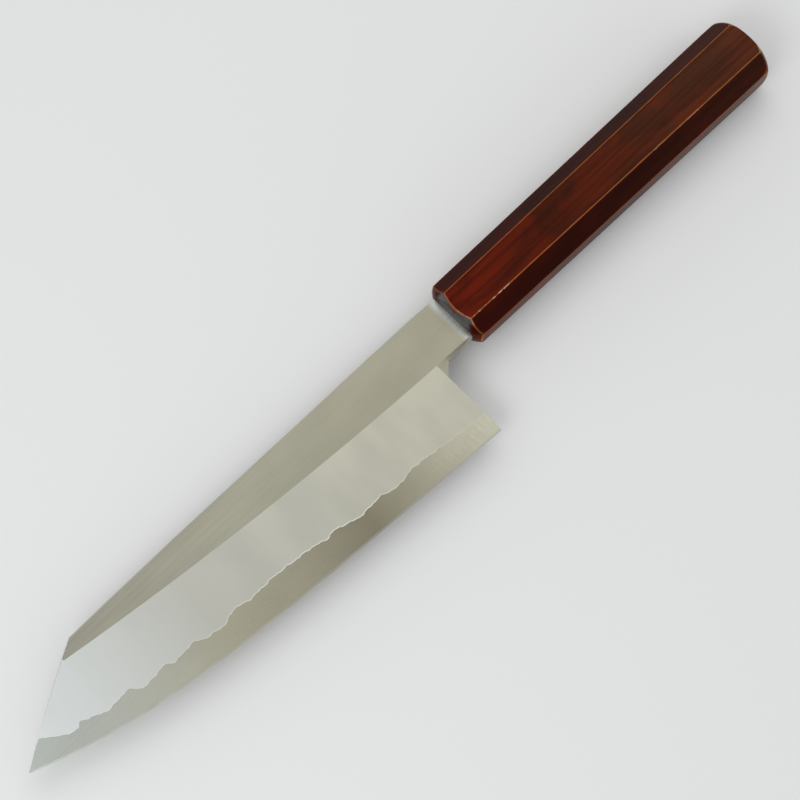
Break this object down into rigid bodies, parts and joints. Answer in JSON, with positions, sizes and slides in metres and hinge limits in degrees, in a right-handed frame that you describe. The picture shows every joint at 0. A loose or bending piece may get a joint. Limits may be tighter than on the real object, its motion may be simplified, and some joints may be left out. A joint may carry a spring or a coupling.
{
  "type": "kiritsuke kitchen knife",
  "caption": "Kitchen knife with a slanted tip, layered and bevelled blade with a wavy weld line, hidden tang and octagonal lacquered wooden handle",
  "frame": {"origin": "on the handle's axis at the centre of the handle's front face, where the neck enters", "axes": "+X from tip to butt, +Y from edge to spine, +Z out of the blade's left face, the one in the picture"},
  "size_m": [0.3339, 0.05, 0.0206],
  "materials": {
    "core_steel": "fine polished hard steel",
    "cladding": "satin flats and hazy bevels",
    "lacquered_wood": "glossy red-brown lacquer, worn amber on the corners",
    "bedding": "set adhesive"
  },
  "bodies": {
    "root": {"core_steel": "core_steel", "cladding_left": "cladding", "cladding_right": "cladding", "handle_body": "lacquered_wood", "tang_bedding": "bedding"}
  },
  "joints": []
}
